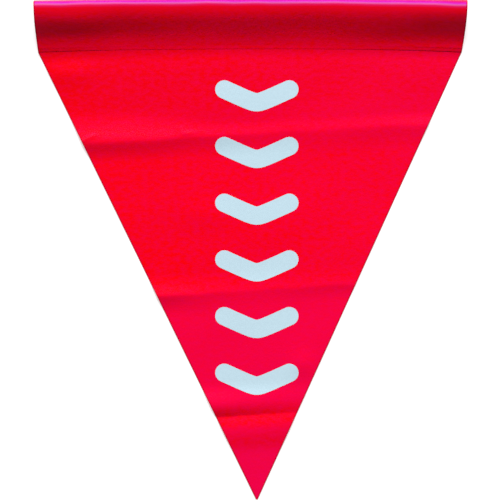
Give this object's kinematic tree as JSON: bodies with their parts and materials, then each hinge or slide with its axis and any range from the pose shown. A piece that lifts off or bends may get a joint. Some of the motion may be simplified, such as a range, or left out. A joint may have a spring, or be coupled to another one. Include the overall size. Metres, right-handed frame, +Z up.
{
  "type": "triangular safety flag with rope sleeve",
  "caption": "Long triangular red warning flag of thin soft sheet, lying face up, with its wide end folded over and welded into an open sleeve for a rope.",
  "frame": {"origin": "under the middle of the flag's box, on the surface it lies on", "axes": "+X along the rope sleeve, +Y from the tip to the sleeve, +Z up out of the printed face"},
  "size_m": [0.2596, 0.3004, 0.0131],
  "materials": {
    "red_vinyl": "satin"
  },
  "bodies": {
    "root": {"flag_sheet": "red_vinyl"}
  },
  "joints": []
}
